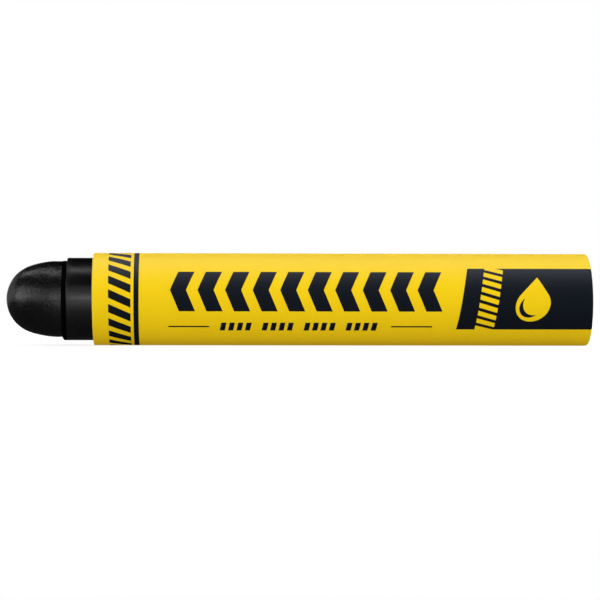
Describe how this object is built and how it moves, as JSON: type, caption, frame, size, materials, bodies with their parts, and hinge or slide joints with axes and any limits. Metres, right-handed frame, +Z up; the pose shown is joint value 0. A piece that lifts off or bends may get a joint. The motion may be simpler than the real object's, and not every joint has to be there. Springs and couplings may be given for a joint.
{
  "type": "solid paint marker",
  "caption": "Push-up solid paint marker: a cast stick of paint with a bullet nose, in a spiral-wound paper tube with a printed label.",
  "frame": {"origin": "on the surface that the marker lies on, under the middle of its length", "axes": "+X along the marker from the nose to the rear end, +Y away from the picture's camera, +Z up"},
  "size_m": [0.1206, 0.019, 0.0191],
  "materials": {
    "paint": "waxy black solid paint, dull with soft sheen",
    "paperboard": "grey-brown chipboard",
    "greaseproof_paper": "smooth greaseproof paper",
    "kraft_paper": "plain brown kraft paper",
    "printed_label": "satin coated paper, printed in black on yellow"
  },
  "bodies": {
    "tube": {"liner": "greaseproof_paper", "inner_ply": "kraft_paper", "outer_ply": "kraft_paper", "label": "printed_label"},
    "paint": {"paint_stick": "paint", "base_disc": "paperboard"}
  },
  "joints": [
    {"name": "paint_push_up", "type": "slide", "parent": "tube", "child": "paint", "axis": [-1, 0, 0], "range_m": [0, 0.082]}
  ]
}
